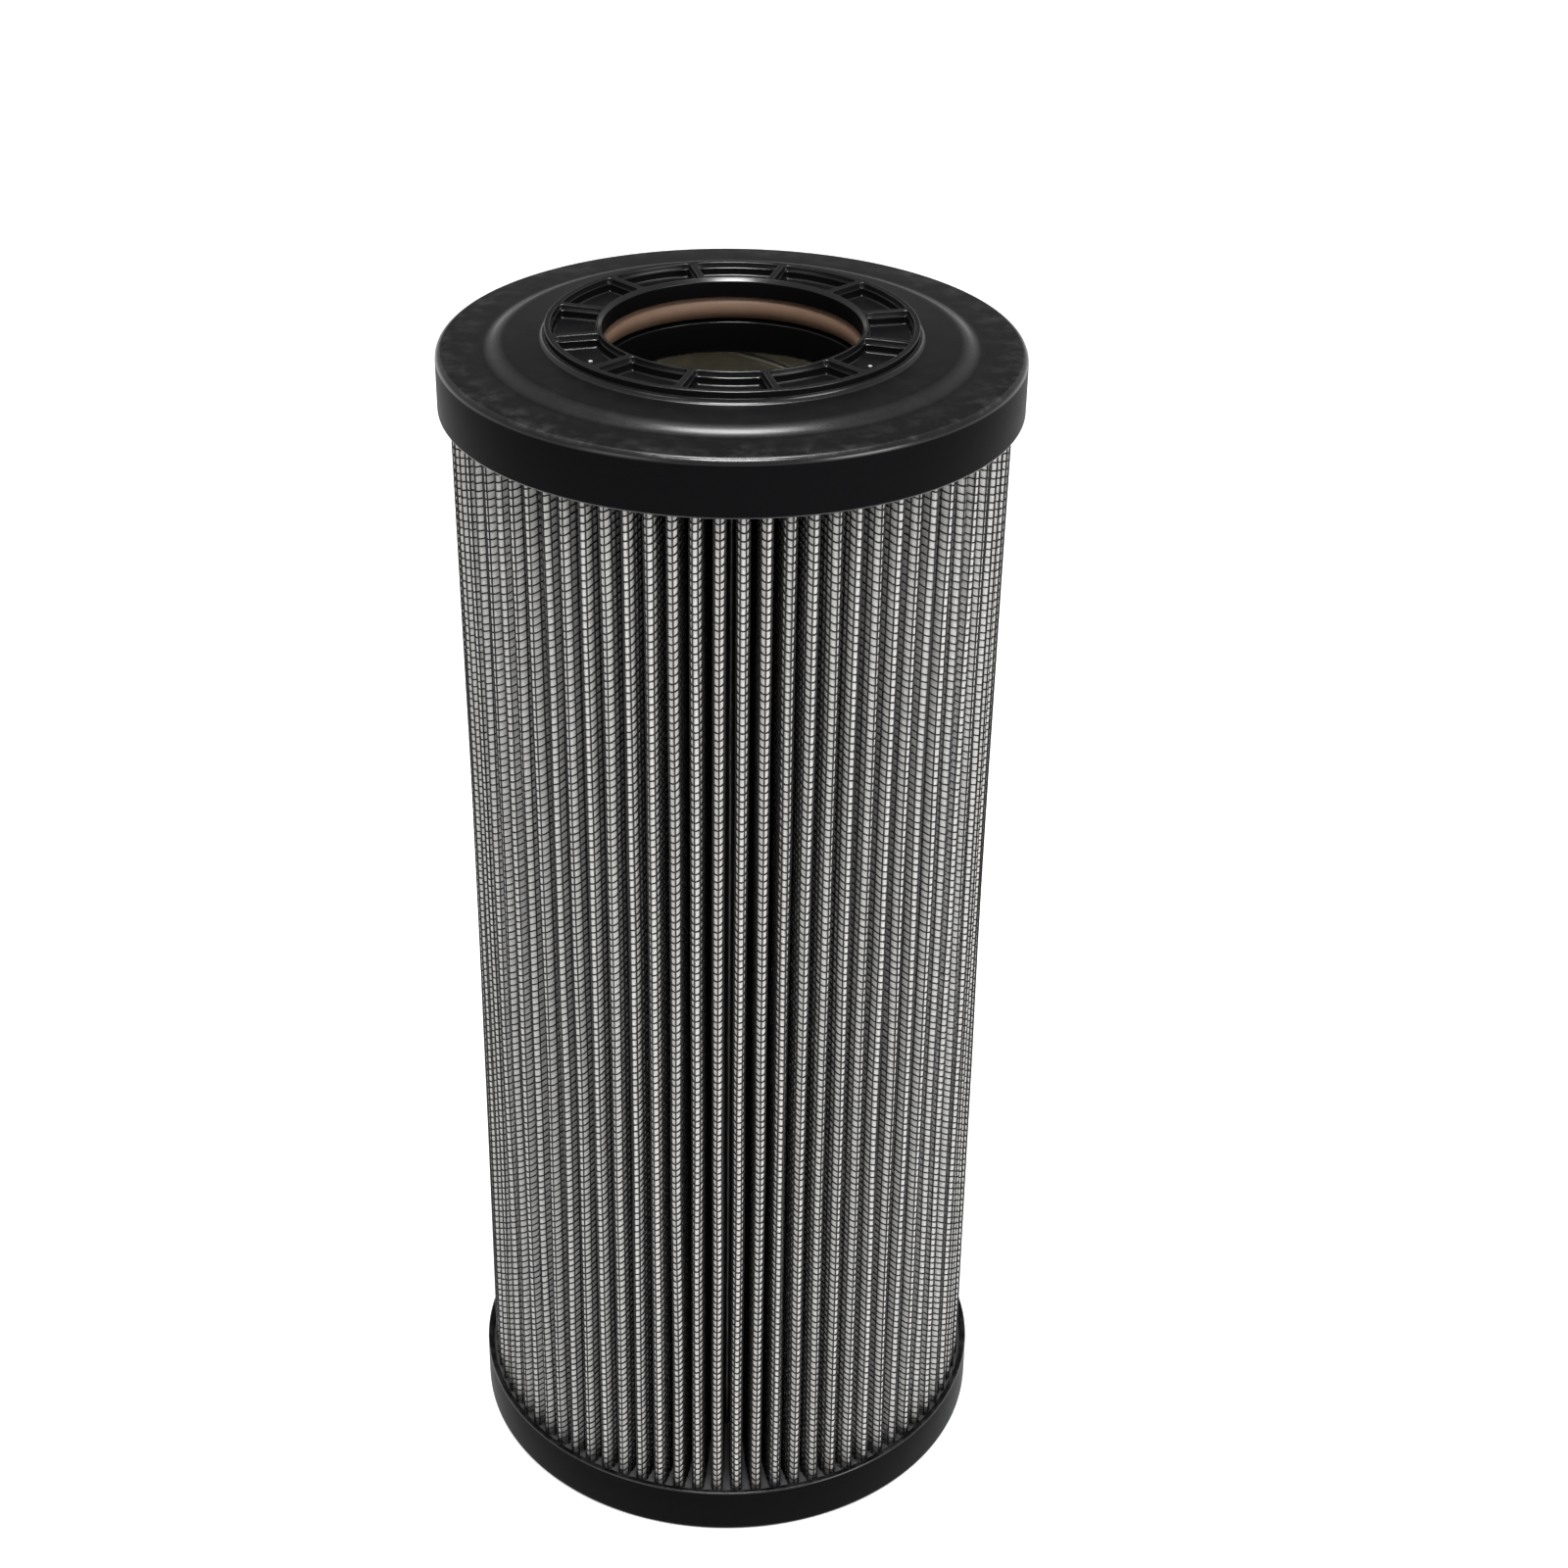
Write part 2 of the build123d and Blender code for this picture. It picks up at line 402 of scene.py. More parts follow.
# %% The plan of a pocket
def pocket_outline(inset):
    """The pocket's plan, drawn in by inset, with the same number of points as the sector."""
    outer, inner = pocket_outer_r - inset, pocket_inner_r + inset
    wall = rib_half + inset
    size = max(corner_round - inset, 0.15)
    corners = []
    for radius, side in ((outer, -1), (outer, 1), (inner, 1), (inner, -1)):
        corners.append(polar(radius, side * (half_sector - asin(wall / radius))))

    def along_side(number):
        """A point on the straight side next to a corner, `size` away from it."""
        other = corners[3 - number]
        return corners[number] + (other - corners[number]).normalized() * size

    def along_arc(number):
        """A point on the arc next to a corner, `size` away from it."""
        radius = corners[number].length
        side = -1 if corners[number].y > 0 else 1
        turn = asin(corners[number].y / radius) + side * size / radius
        return polar(radius, turn)

    outline = []
    for number in range(4):
        entering_arc = number in (0, 2)
        first = along_side(number) if entering_arc else along_arc(number)
        last = along_arc(number) if entering_arc else along_side(number)
        for step in range(corner_points):
            t = step / (corner_points - 1)
            outline.append(first.lerp(corners[number], t).lerp(corners[number].lerp(last, t), t))
        if entering_arc:
            radius = corners[number].length
            begin = asin(last.y / radius)
            end = -begin
            for turn in range(1, turns_per_pocket):
                outline.append(polar(radius, begin + (end - begin) * turn / turns_per_pocket))
        else:
            begin, end = last, along_side(3 - number)
            for step in range(1, side_points + 1):
                outline.append(begin.lerp(end, step / (side_points + 1)))
    return outline


# %% The levels of a pocket
def pocket_levels():
    """(inset, depth) from the rim down to the floor."""
    levels = []
    for step in range(5):
        turn = step / 4 * pi / 2
        levels.append((-edge_round * (1 - sin(turn)), edge_round * (1 - cos(turn))))
    levels += [(0.03, ledge_depth - 0.08), (0.06, ledge_depth - 0.02), (0.12, ledge_depth)]
    levels += [(ledge_width - 0.06, ledge_depth), (ledge_width, ledge_depth + 0.06)]
    floor_round = 0.32
    wall = ledge_width + 0.05
    for step in range(5):
        turn = step / 4 * pi / 2
        levels.append((
            wall + floor_round * (1 - cos(turn)),
            pocket_depth - floor_round * (1 - sin(turn)),
        ))
    return levels


def add_pocket(mesh, middle):
    """Adds one pocket and the face round it, turned to stand at an angle."""
    turn = Matrix.Rotation(middle, 2)
    stack = [(sector_outline(), 0.0)]
    stack += [(pocket_outline(inset), depth) for inset, depth in pocket_levels()]
    rings = [
        [mesh.verts.new((*(turn @ point), top_z - depth)) for point in outline]
        for outline, depth in stack
    ]
    count = len(rings[0])
    for ring, following in zip(rings, rings[1:]):
        for number in range(count):
            beside = (number + 1) % count
            mesh.faces.new((ring[number], ring[beside], following[beside], following[number]))
    mesh.faces.new(rings[-1])


# %% [markdown]
# The rest of the cap is one turned profile, from the mouth of the bore, down through the
# seal groove, round the neck, the plate and the skirt, and back over the rim, the outer
# flat and the raised shoulder to the ring. The shoulder's edges are very soft.


# %% The profile of the cap
def cap_profile():
    """From the mouth of the bore, round the underside, to the top of the pocket ring."""
    shoulder_r, shoulder_z = 39.6, flat_z + 1.2
    foot_z = top_z - 1.9
    ledge_z = top_z - 1.15
    ledge_r = boss_r + 0.2
    return rounded([
        (field_inner_r, top_z, 0), (bore_r + mouth, top_z, 0.12), (bore_r, top_z - mouth, 0.15),
        (bore_r, groove_top, 0.15), (groove_r, groove_top, 0.2), (groove_r, groove_bottom, 0.2),
        (bore_r, groove_bottom, 0.15), (bore_r, neck_z, 0.5), (neck_r, neck_z, 0.4),
        (neck_r, plate_z, 0.3), (cap_r - skirt_wall, plate_z, 0.3),
        (cap_r - skirt_wall, skirt_z, 0.3), (cap_r, skirt_z, 0.35), (cap_r, flat_z, 1.15),
        (shoulder_r, flat_z, 4.5), (shoulder_r - 2.4, shoulder_z, 6.0),
        (ledge_r, foot_z, 0.8), (ledge_r, ledge_z, 0.07), (boss_r, ledge_z, 0.07),
        (boss_r, top_z, 0.19), (field_outer_r, top_z, 0),
    ])


cap_mesh = bmesh.new()
turned_faces(cap_mesh, cap_profile(), closed=False)
for pocket in range(pocket_count):
    add_pocket(cap_mesh, rib_turn + half_sector * (2 * pocket + 1))
top_cap = to_piece("top_cap_moulding", cap_mesh)
dress(top_cap, "cap_plastic", black_plastic, "top_end_cap")


# %% [markdown]
# Three pockets, a third of a turn apart, keep the mark of an ejector pin on their floors.
# Each mark is a small pale grey dome.


# %% The ejector marks
def pale_dot_plastic():
    """Pale grey plastic with a fine speckle."""
    material, tree, shader, place = start_material("pale_dot_plastic", Roughness=0.45)
    speckle = noise(tree, place, 2600.0, 3.0)
    tree.links.new(
        blend(tree, speckle, (0.3, 0.3, 0.31, 1), (0.62, 0.62, 0.63, 1)),
        shader.inputs["Base Color"],
    )
    bumped(tree, shader, speckle, 0.02, 0.3)
    return material


marks_mesh = bmesh.new()
mark_r, mark_ring_r = 0.36, 25.2
for number in range(3):
    made = bmesh.ops.create_uvsphere(marks_mesh, u_segments=20, v_segments=10, radius=mark_r)
    bmesh.ops.scale(marks_mesh, vec=(1, 1, 0.45), verts=made["verts"])
    angle = rib_turn + half_sector * (2 * (4 * number + 2) + 1)
    spot = (*polar(mark_ring_r, angle), top_z - pocket_depth)
    bmesh.ops.translate(marks_mesh, vec=spot, verts=made["verts"])
dress(to_piece("ejector_marks", marks_mesh), "cap_plastic", pale_dot_plastic(), "top_end_cap")

# %% [markdown]
# ## The bottom cap and the seal
# The bottom cap is a closed dish. Its rim is thin, so its rounded top edge shows as a
# bright line all the way round. The seal is a plain ring that fills its groove.


# %% The bottom cap
foot_wall, spigot_wall, spigot_height = 1.1, 1.6, 6.0


def bottom_cap_profile():
    """A closed dish with a locating ring for the tube inside."""
    rim_r, floor = foot_high.x, 3.2
    rim_inner, spigot = rim_r - foot_wall, tube_high.x - 0.9
    return rounded([
        (0, 0, 0), (rim_r, 0, 0.8), (rim_r, foot_high.z, 0.3), (rim_inner, foot_high.z, 0.3),
        (rim_inner, floor, 0.4), (spigot, floor, 0.3), (spigot, floor + spigot_height, 0.4),
        (spigot - spigot_wall, floor + spigot_height, 0.4), (spigot - spigot_wall, floor, 0.4),
        (0, floor, 0),
    ])


foot_mesh = bmesh.new()
turned_faces(foot_mesh, bottom_cap_profile(), closed=False)
bottom_cap = to_piece("bottom_cap_moulding", foot_mesh)
dress(bottom_cap, "cap_plastic", black_plastic, "bottom_end_cap")

# %% The seal ring
seal_mesh = bmesh.new()
cord_r = seal_cord / 2
cord_steps = 32
cord_middle = Vector((groove_r - cord_r, (seal_low.z + seal_high.z) / 2))
turned_faces(
    seal_mesh,
    [cord_middle + polar(cord_r, 2 * pi * step / cord_steps) for step in range(cord_steps)],
    closed=True,
)
seal_ring = to_piece("bore_seal_ring", seal_mesh)
dress(seal_ring, "seal_rubber", seal_rubber(), "bore_seal")

# %% [markdown]
# ## Geometry Nodes for what repeats
# The pleats and the wires follow one rule, so they are grown by node trees. Each tree has
# named inputs, and its result is turned into a plain mesh at once. The helpers below make
# a tree with its inputs, and grow an object from it.


# %% Tree helpers
def new_tree(title, **sizes):
    """A geometry tree whose named inputs have these values, and its input sockets."""
    tree = bpy.data.node_groups.new(title, "GeometryNodeTree")
    tree.interface.new_socket("Geometry", in_out="OUTPUT", socket_type="NodeSocketGeometry")
    for name, value in sizes.items():
        kind = "NodeSocketInt" if isinstance(value, int) else "NodeSocketFloat"
        socket = tree.interface.new_socket(name, in_out="INPUT", socket_type=kind)
        socket.default_value = value
    tree.interface.new_socket("material", in_out="INPUT", socket_type="NodeSocketMaterial")
    return tree, put(tree, "NodeGroupInput").outputs


def grow(name, tree, material, **values):
    """Grows a mesh from a tree and makes it a plain object."""
    seed = bpy.data.objects.new(name, bpy.data.meshes.new(name + "_seed"))
    bpy.context.scene.collection.objects.link(seed)
    rule = seed.modifiers.new("rule", "NODES")
    rule.node_group = tree
    values["material"] = material
    for item in tree.interface.items_tree:
        if item.item_type == "SOCKET" and item.in_out == "INPUT" and item.name in values:
            rule[item.identifier] = values[item.name]
    graph = bpy.context.evaluated_depsgraph_get()
    grown = bpy.data.meshes.new_from_object(seed.evaluated_get(graph))
    seed.modifiers.remove(rule)
    seed.data = grown
    return seed


# %% [markdown]
# ### The rule of a fold
# Walk along the cloth, starting from the tip of a pleat. For a quarter turn the path
# bends round the nose, and then it runs straight down the flank to the foot. So a place
# on the pack is given by three numbers: the pleat, the distance along the cloth, and the
# height. The wires use the same rule with a slightly larger bend, so they lie on the
# media however the pack sways.

# %% Sizes of the pack
pleat_count = 78
pack_height = pack_high.z - pack_low.z
wire_r = 0.15
media_bend = 0.80
nose = 1.7
nose_path = pi / 2 * ((1 + nose ** 2) / 2) ** 0.5
media_tip = crest_r - 0.27
flank_slope = 0.006
media_foot = 26.95
wire_pitch = 1.36
fold_pull = 0.42
media_thickness = 0.4
print(f"{pleat_count} pleats, pitch {2 * pi * crest_r / pleat_count:.2f} mm at the crests")


# %% A place on the folded cloth
def fold_place(tree, pleat, along, height, bend, tip):
    """The position, in millimetres, of a place on the pack. All are sockets or numbers."""
    quarter = calc(tree, "MULTIPLY", bend, nose_path)
    walked = calc(tree, "ABSOLUTE", along)
    side = calc(tree, "SIGN", along)
    turned = ranged(tree, walked, 0.0, quarter, 0.0, pi / 2)
    down = calc(tree, "MAXIMUM", calc(tree, "SUBTRACT", walked, quarter), 0.0)
    length = calc(tree, "MULTIPLY", bend, nose)
    middle = calc(tree, "SUBTRACT", tip, length)
    out = calc(tree, "MULTIPLY_ADD", calc(tree, "COSINE", turned), length, middle)
    out = calc(tree, "SUBTRACT", out, down)
    across = calc(tree, "MULTIPLY", calc(tree, "SINE", turned), bend)
    across = calc(tree, "SUBTRACT", across, calc(tree, "MULTIPLY", down, flank_slope))
    across = calc(tree, "MULTIPLY", across, side)
    angle = calc(tree, "MULTIPLY", pleat, 2 * pi / pleat_count)
    east, north = calc(tree, "COSINE", angle), calc(tree, "SINE", angle)
    out, across = sway(tree, out, across, east, north, height)
    x = calc(tree, "SUBTRACT", calc(tree, "MULTIPLY", out, east), calc(tree, "MULTIPLY", across, north))
    y = calc(tree, "ADD", calc(tree, "MULTIPLY", out, north), calc(tree, "MULTIPLY", across, east))
    return put(tree, "ShaderNodeCombineXYZ", x, y, height).outputs[0]


# %% [markdown]
# No pack is perfectly even. Its ends are held in the caps and its feet stand on the tube.
# Between them each pleat leans and bows a little in its own way, and the waist is drawn
# in. The sway is a noise read on a circle, so the last pleat meets the first.


# %% The sway of the pack
def sway(tree, out, across, east, north, height):
    """Moves a place a little outwards and sideways, by nothing at the caps and the feet."""
    part = ranged(tree, height, pack_low.z, pack_high.z, 0.0, 1.0)
    free = ranged(tree, out, media_foot, crest_r, 0.0, 1.0)
    held = calc(tree, "MULTIPLY", calc(tree, "SINE", calc(tree, "MULTIPLY", part, pi)), free)
    loose = calc(tree, "SQRT", calc(tree, "MULTIPLY", held, free))
    spot = put(
        tree, "ShaderNodeCombineXYZ",
        calc(tree, "MULTIPLY", east, 5.0), calc(tree, "MULTIPLY", north, 5.0),
        calc(tree, "MULTIPLY", height, 0.011),
    ).outputs[0]
    drift = calc(tree, "SUBTRACT", noise(tree, spot, 1.0, 2.0), 0.5)
    other = put(tree, "ShaderNodeVectorMath", spot, (17.0, 9.0, 4.0)).outputs[0]
    bow = calc(tree, "SUBTRACT", noise(tree, other, 1.3, 1.0), 0.5)
    across = calc(tree, "ADD", across, calc(tree, "MULTIPLY", calc(tree, "MULTIPLY", drift, 0.9), loose))
    out = calc(tree, "ADD", out, calc(tree, "MULTIPLY", calc(tree, "MULTIPLY", bow, 0.5), loose))
    return calc(tree, "SUBTRACT", out, calc(tree, "MULTIPLY", held, 0.45)), across


def finish_tree(tree, sockets, geometry):
    """Ends a tree: millimetres to metres, plain mesh, smooth, and its material."""
    sized = put(tree, "GeometryNodeTransform", geometry)
    sized.inputs["Scale"].default_value = (MM, MM, MM)
    plain = put(tree, "GeometryNodeRealizeInstances", sized.outputs[0]).outputs[0]
    smooth = put(tree, "GeometryNodeSetShadeSmooth", plain).outputs[0]
    coloured = put(tree, "GeometryNodeSetMaterial", smooth)
    tree.links.new(sockets["material"], coloured.inputs["Material"])
    put(tree, "NodeGroupOutput", coloured.outputs[0])


def whole(tree, value):
    """The whole number just below a value."""
    return calc(tree, "FLOOR", calc(tree, "ADD", value, 0.001))


# %% [markdown]
# ### The media
# The media is one sheet, so it starts as a flat grid with a few columns for each pleat.
# The columns are close together round the tip and far apart on the straight flanks. Each
# point keeps its depth below the tip and its distance along the cloth, for the material.


# %% The tree of the media
def media_tree():
    """A flat grid that is folded into the whole pleated sheet."""
    columns, tip_share = 17, 0.625
    tree, sockets = new_tree("pleated_media", levels=26, bend=media_bend, tip=media_tip)
    across = pleat_count * columns
    grid = put(tree, "GeometryNodeMeshGrid", float(across), 1.0, across + 1, sockets["levels"])
    place = put(tree, "GeometryNodeInputPosition").outputs[0]
    flat = put(tree, "ShaderNodeSeparateXYZ", place).outputs
    column = calc(tree, "ROUND", calc(tree, "ADD", flat[0], across / 2))
    pleat = whole(tree, calc(tree, "DIVIDE", column, columns))
    number = calc(tree, "SUBTRACT", column, calc(tree, "MULTIPLY", pleat, columns))
    spread = calc(tree, "MULTIPLY_ADD", number, 2 / (columns - 1), -1.0)
    walked = calc(tree, "ABSOLUTE", spread)
    quarter = calc(tree, "MULTIPLY", sockets["bend"], nose_path)
    shoulder = calc(tree, "SUBTRACT", sockets["tip"], calc(tree, "MULTIPLY", sockets["bend"], nose))
    flank = calc(tree, "SUBTRACT", shoulder, media_foot)
    bent = ranged(tree, walked, 0.0, tip_share, 0.0, quarter)
    straight = ranged(tree, walked, tip_share, 1.0, 0.0, flank)
    along = calc(tree, "MULTIPLY", calc(tree, "ADD", bent, straight), calc(tree, "SIGN", spread))
    height = ranged(tree, flat[1], -0.5, 0.5, pack_low.z, pack_high.z)
    # the distance is noted on the flat sheet, because folding it changes every position
    noted = put(
        tree, "GeometryNodeStoreNamedAttribute", grid.outputs[0], None, "along_cloth", along,
        data_type="FLOAT", domain="POINT",
    ).outputs[0]
    folded = put(
        tree, "GeometryNodeSetPosition", noted, None,
        fold_place(tree, pleat, along, height, sockets["bend"], sockets["tip"]),
    ).outputs[0]
    joined = put(tree, "GeometryNodeMergeByDistance", folded)
    joined.inputs["Distance"].default_value = 0.001
    finish_tree(tree, sockets, joined.outputs[0])
    return tree


# %% [markdown]
# The media's own look is a soft off-white felt of glass fibres. Between the pleats, five to eight and a
# half millimetres down the cloth, the material turns nearly black: partly the dark of the wires seen
# together with the media, and partly painted shade of the narrow gaps.


# %% Glass media
def glass_media():
    """Off-white felt that turns nearly black down in the pleats, for the dark wires and painted shade.
    """
    material, tree, shader, place = start_material(
        "glass_media", Roughness=0.85, Specular_IOR_Level=0.2
    )
    felt = noise(tree, place, 900.0, 4.0, 0.7)
    mottled = noise(tree, place, 220.0, 3.0)
    pale = blend(tree, mottled, (0.70, 0.69, 0.67, 1), (0.82, 0.81, 0.79, 1))
    pale = blend(tree, ranged(tree, felt, 0.35, 0.7, 0.0, 0.35), pale, (0.46, 0.45, 0.42, 1))
    walked = put(tree, "ShaderNodeAttribute", attribute_name="along_cloth").outputs["Fac"]
    # painted shade: far down the flank the colour goes nearly black, partly the dark of the wires and
    # partly the shade of the narrow gaps
    deep = ranged(tree, calc(tree, "ABSOLUTE", walked), 5.0, 8.5, 0.0, 0.93)
    tree.links.new(blend(tree, deep, pale, (0.03, 0.028, 0.03, 1)), shader.inputs["Base Color"])
    bumped(tree, shader, felt, 0.12, 0.6)
    return material


media_felt = glass_media()
media = grow("pleated_media", media_tree(), media_felt)
thick = media.modifiers.new("thickness", "SOLIDIFY")
thick.thickness, thick.offset = media_thickness * MM, -1.0
dress(media, "glass_media", media_felt, "filter_media")


# %% [markdown]
# ### The wires
# The mesh is woven, with wires along the pleats and wires across them. A cross wire is a
# short path of nine points that goes up one flank, round the tip and down the other. It
# is copied to every pleat and every level, and bent by the rule of the fold. Each has
# three sides only, because there are eleven thousand of them and each is thinner than a
# hair pin. They end seven millimetres down the flank, where nothing can be seen.


# %% The tree of the cross wires
def cross_wire_tree():
    """Wires across the pleats, for some of the levels."""
    tip_share, depth = 0.75, 7.0
    tree, sockets = new_tree(
        "cross_wires", first_level=0, levels=10, bend=media_bend + wire_r,
        tip=media_tip + wire_r, pitch=wire_pitch, radius=wire_r,
    )
    points = put(
        tree, "GeometryNodeMeshGrid", float(pleat_count - 1),
        calc(tree, "SUBTRACT", sockets["levels"], 1.0), pleat_count, sockets["levels"],
    ).outputs[0]
    path = put(
        tree, "GeometryNodeMeshLine", 9, None, (-1.0, 0.0, 0.0), (0.25, 0.0, 0.0), mode="OFFSET",
    ).outputs[0]
    # the grid lies flat: its x is the pleat and its y is the level, so it is turned to y and z
    flat = put(tree, "ShaderNodeSeparateXYZ", put(tree, "GeometryNodeInputPosition").outputs[0]).outputs
    pleat = calc(tree, "ADD", flat[0], (pleat_count - 1) / 2)
    middle = calc(tree, "MULTIPLY", calc(tree, "SUBTRACT", sockets["levels"], 1.0), 0.5)
    level = calc(tree, "ADD", calc(tree, "ADD", flat[1], middle), sockets["first_level"])
    upright = put(
        tree, "GeometryNodeSetPosition", points, None,
        put(tree, "ShaderNodeCombineXYZ", 0.0, pleat, level).outputs[0],
    ).outputs[0]
    copies = put(tree, "GeometryNodeInstanceOnPoints", upright, None, path).outputs[0]
    loose = put(tree, "GeometryNodeRealizeInstances", copies).outputs[0]
    spot = put(tree, "ShaderNodeSeparateXYZ", put(tree, "GeometryNodeInputPosition").outputs[0]).outputs
    walked = calc(tree, "ABSOLUTE", spot[0])
    quarter = calc(tree, "MULTIPLY", sockets["bend"], nose_path)
    bent = ranged(tree, walked, 0.0, tip_share, 0.0, quarter)
    straight = ranged(tree, walked, tip_share, 1.0, 0.0, depth)
    along = calc(tree, "MULTIPLY", calc(tree, "ADD", bent, straight), calc(tree, "SIGN", spot[0]))
    uneven = put(
        tree, "ShaderNodeCombineXYZ", calc(tree, "MULTIPLY", along, 0.25),
        calc(tree, "MULTIPLY", spot[1], 1.7), calc(tree, "MULTIPLY", spot[2], 0.6),
    ).outputs[0]
    lift = calc(tree, "MULTIPLY", calc(tree, "SUBTRACT", noise(tree, uneven, 1.0, 1.0), 0.5), 0.45)
    height = calc(tree, "MULTIPLY_ADD", spot[2], sockets["pitch"], pack_low.z + 0.5)
    # folding pulls each wire down at the tip of the pleat
    share = ranged(tree, walked, 0.0, tip_share, 0.0, 1.0)
    pulled = calc(tree, "MULTIPLY", calc(tree, "MULTIPLY", share, share), fold_pull)
    height = calc(tree, "ADD", calc(tree, "ADD", height, lift), pulled)
    bent_wires = put(
        tree, "GeometryNodeSetPosition", loose, None,
        fold_place(tree, spot[1], along, height, sockets["bend"], sockets["tip"]),
    ).outputs[0]
    curves = put(tree, "GeometryNodeMeshToCurve", bent_wires).outputs[0]
    section = put(tree, "GeometryNodeCurvePrimitiveCircle")
    section.inputs["Resolution"].default_value = 3
    tree.links.new(sockets["radius"], section.inputs["Radius"])
    wires = put(tree, "GeometryNodeCurveToMesh", curves, section.outputs[0])
    wires.inputs["Fill Caps"].default_value = True
    finish_tree(tree, sockets, wires.outputs[0])
    return tree


coat = wire_coat()
level_count = int((pack_height - 1.0) / wire_pitch)
wire_bands = 4
cross_tree = cross_wire_tree()
for band in range(wire_bands):
    first = level_count * band // wire_bands
    last = level_count * (band + 1) // wire_bands
    wires = grow(f"cross_wires_{band + 1}", cross_tree, coat, first_level=first, levels=last - first)
    dress(wires, "coated_mesh", coat, "outer_support_mesh")


# %% [markdown]
# The wires along the pleats stand a mesh apart, counted along the cloth. The length of
# cloth in a pleat isn't a whole number of meshes, so the wires step along from one pleat
# to the next, and here and there a wire runs right along a tip.


# %% The tree of the long wires
def long_wire_tree():
    """Wires along the pleats, nine to a pleat."""
    per_pleat = 9
    tree, sockets = new_tree(
        "long_wires", points=24, bend=media_bend + wire_r, tip=media_tip + wire_r,
        pitch=wire_pitch, radius=wire_r,
    )
    places = put(
        tree, "GeometryNodeMeshGrid", float(per_pleat - 1), float(pleat_count - 1),
        per_pleat, pleat_count,
    ).outputs[0]
    step = put(
        tree, "ShaderNodeCombineXYZ", 0.0, 0.0,
        calc(tree, "DIVIDE", 1.0, calc(tree, "SUBTRACT", sockets["points"], 1.0)),
    ).outputs[0]
    path = put(
        tree, "GeometryNodeMeshLine", sockets["points"], None, (0.0, 0.0, 0.0), step, mode="OFFSET",
    ).outputs[0]
    copies = put(tree, "GeometryNodeInstanceOnPoints", places, None, path).outputs[0]
    loose = put(tree, "GeometryNodeRealizeInstances", copies).outputs[0]
    spot = put(tree, "ShaderNodeSeparateXYZ", put(tree, "GeometryNodeInputPosition").outputs[0]).outputs
    pleat = calc(tree, "ADD", spot[1], (pleat_count - 1) / 2)
    wander = put(tree, "ShaderNodeCombineXYZ", calc(tree, "MULTIPLY", pleat, 0.9), 0.0,
                 calc(tree, "MULTIPLY", spot[2], 1.6)).outputs[0]
    slip = calc(tree, "MULTIPLY", calc(tree, "SUBTRACT", noise(tree, wander, 1.0, 1.0), 0.5), 1.3)
    step_on = calc(tree, "FRACT", calc(tree, "MULTIPLY", pleat, 0.39))
    number = calc(tree, "ADD", calc(tree, "SUBTRACT", calc(tree, "ADD", spot[0], step_on), 0.5), slip)
    along = calc(tree, "MULTIPLY", number, sockets["pitch"])
    height = ranged(tree, spot[2], 0.0, 1.0, pack_low.z, pack_high.z)
    laid = put(
        tree, "GeometryNodeSetPosition", loose, None,
        fold_place(tree, pleat, along, height, sockets["bend"], sockets["tip"]),
    ).outputs[0]
    curves = put(tree, "GeometryNodeMeshToCurve", laid).outputs[0]
    section = put(tree, "GeometryNodeCurvePrimitiveCircle")
    section.inputs["Resolution"].default_value = 3
    tree.links.new(sockets["radius"], section.inputs["Radius"])
    wires = put(tree, "GeometryNodeCurveToMesh", curves, section.outputs[0])
    wires.inputs["Fill Caps"].default_value = True
    finish_tree(tree, sockets, wires.outputs[0])
    return tree


long_wires = grow("long_wires", long_wire_tree(), coat)
dress(long_wires, "coated_mesh", coat, "outer_support_mesh")

# %% [markdown]
# ## The core tube
# The tube is rolled from perforated strip and locked along a spiral seam. A flat grid is
# the strip: each cell of four by four squares loses its middle point, and the eight points
# round that gap move out to a circle. Each row is shifted by half a cell, which staggers
# the holes, and the strip is rolled into a tube. Two rows at each end stay plain.

# %% Sizes of the tube
tube_wall = 0.6
tube_r = tube_high.x - tube_wall
hole_columns, hole_rows = 24, 32
hole_r = 2.1
plain_rows = 2


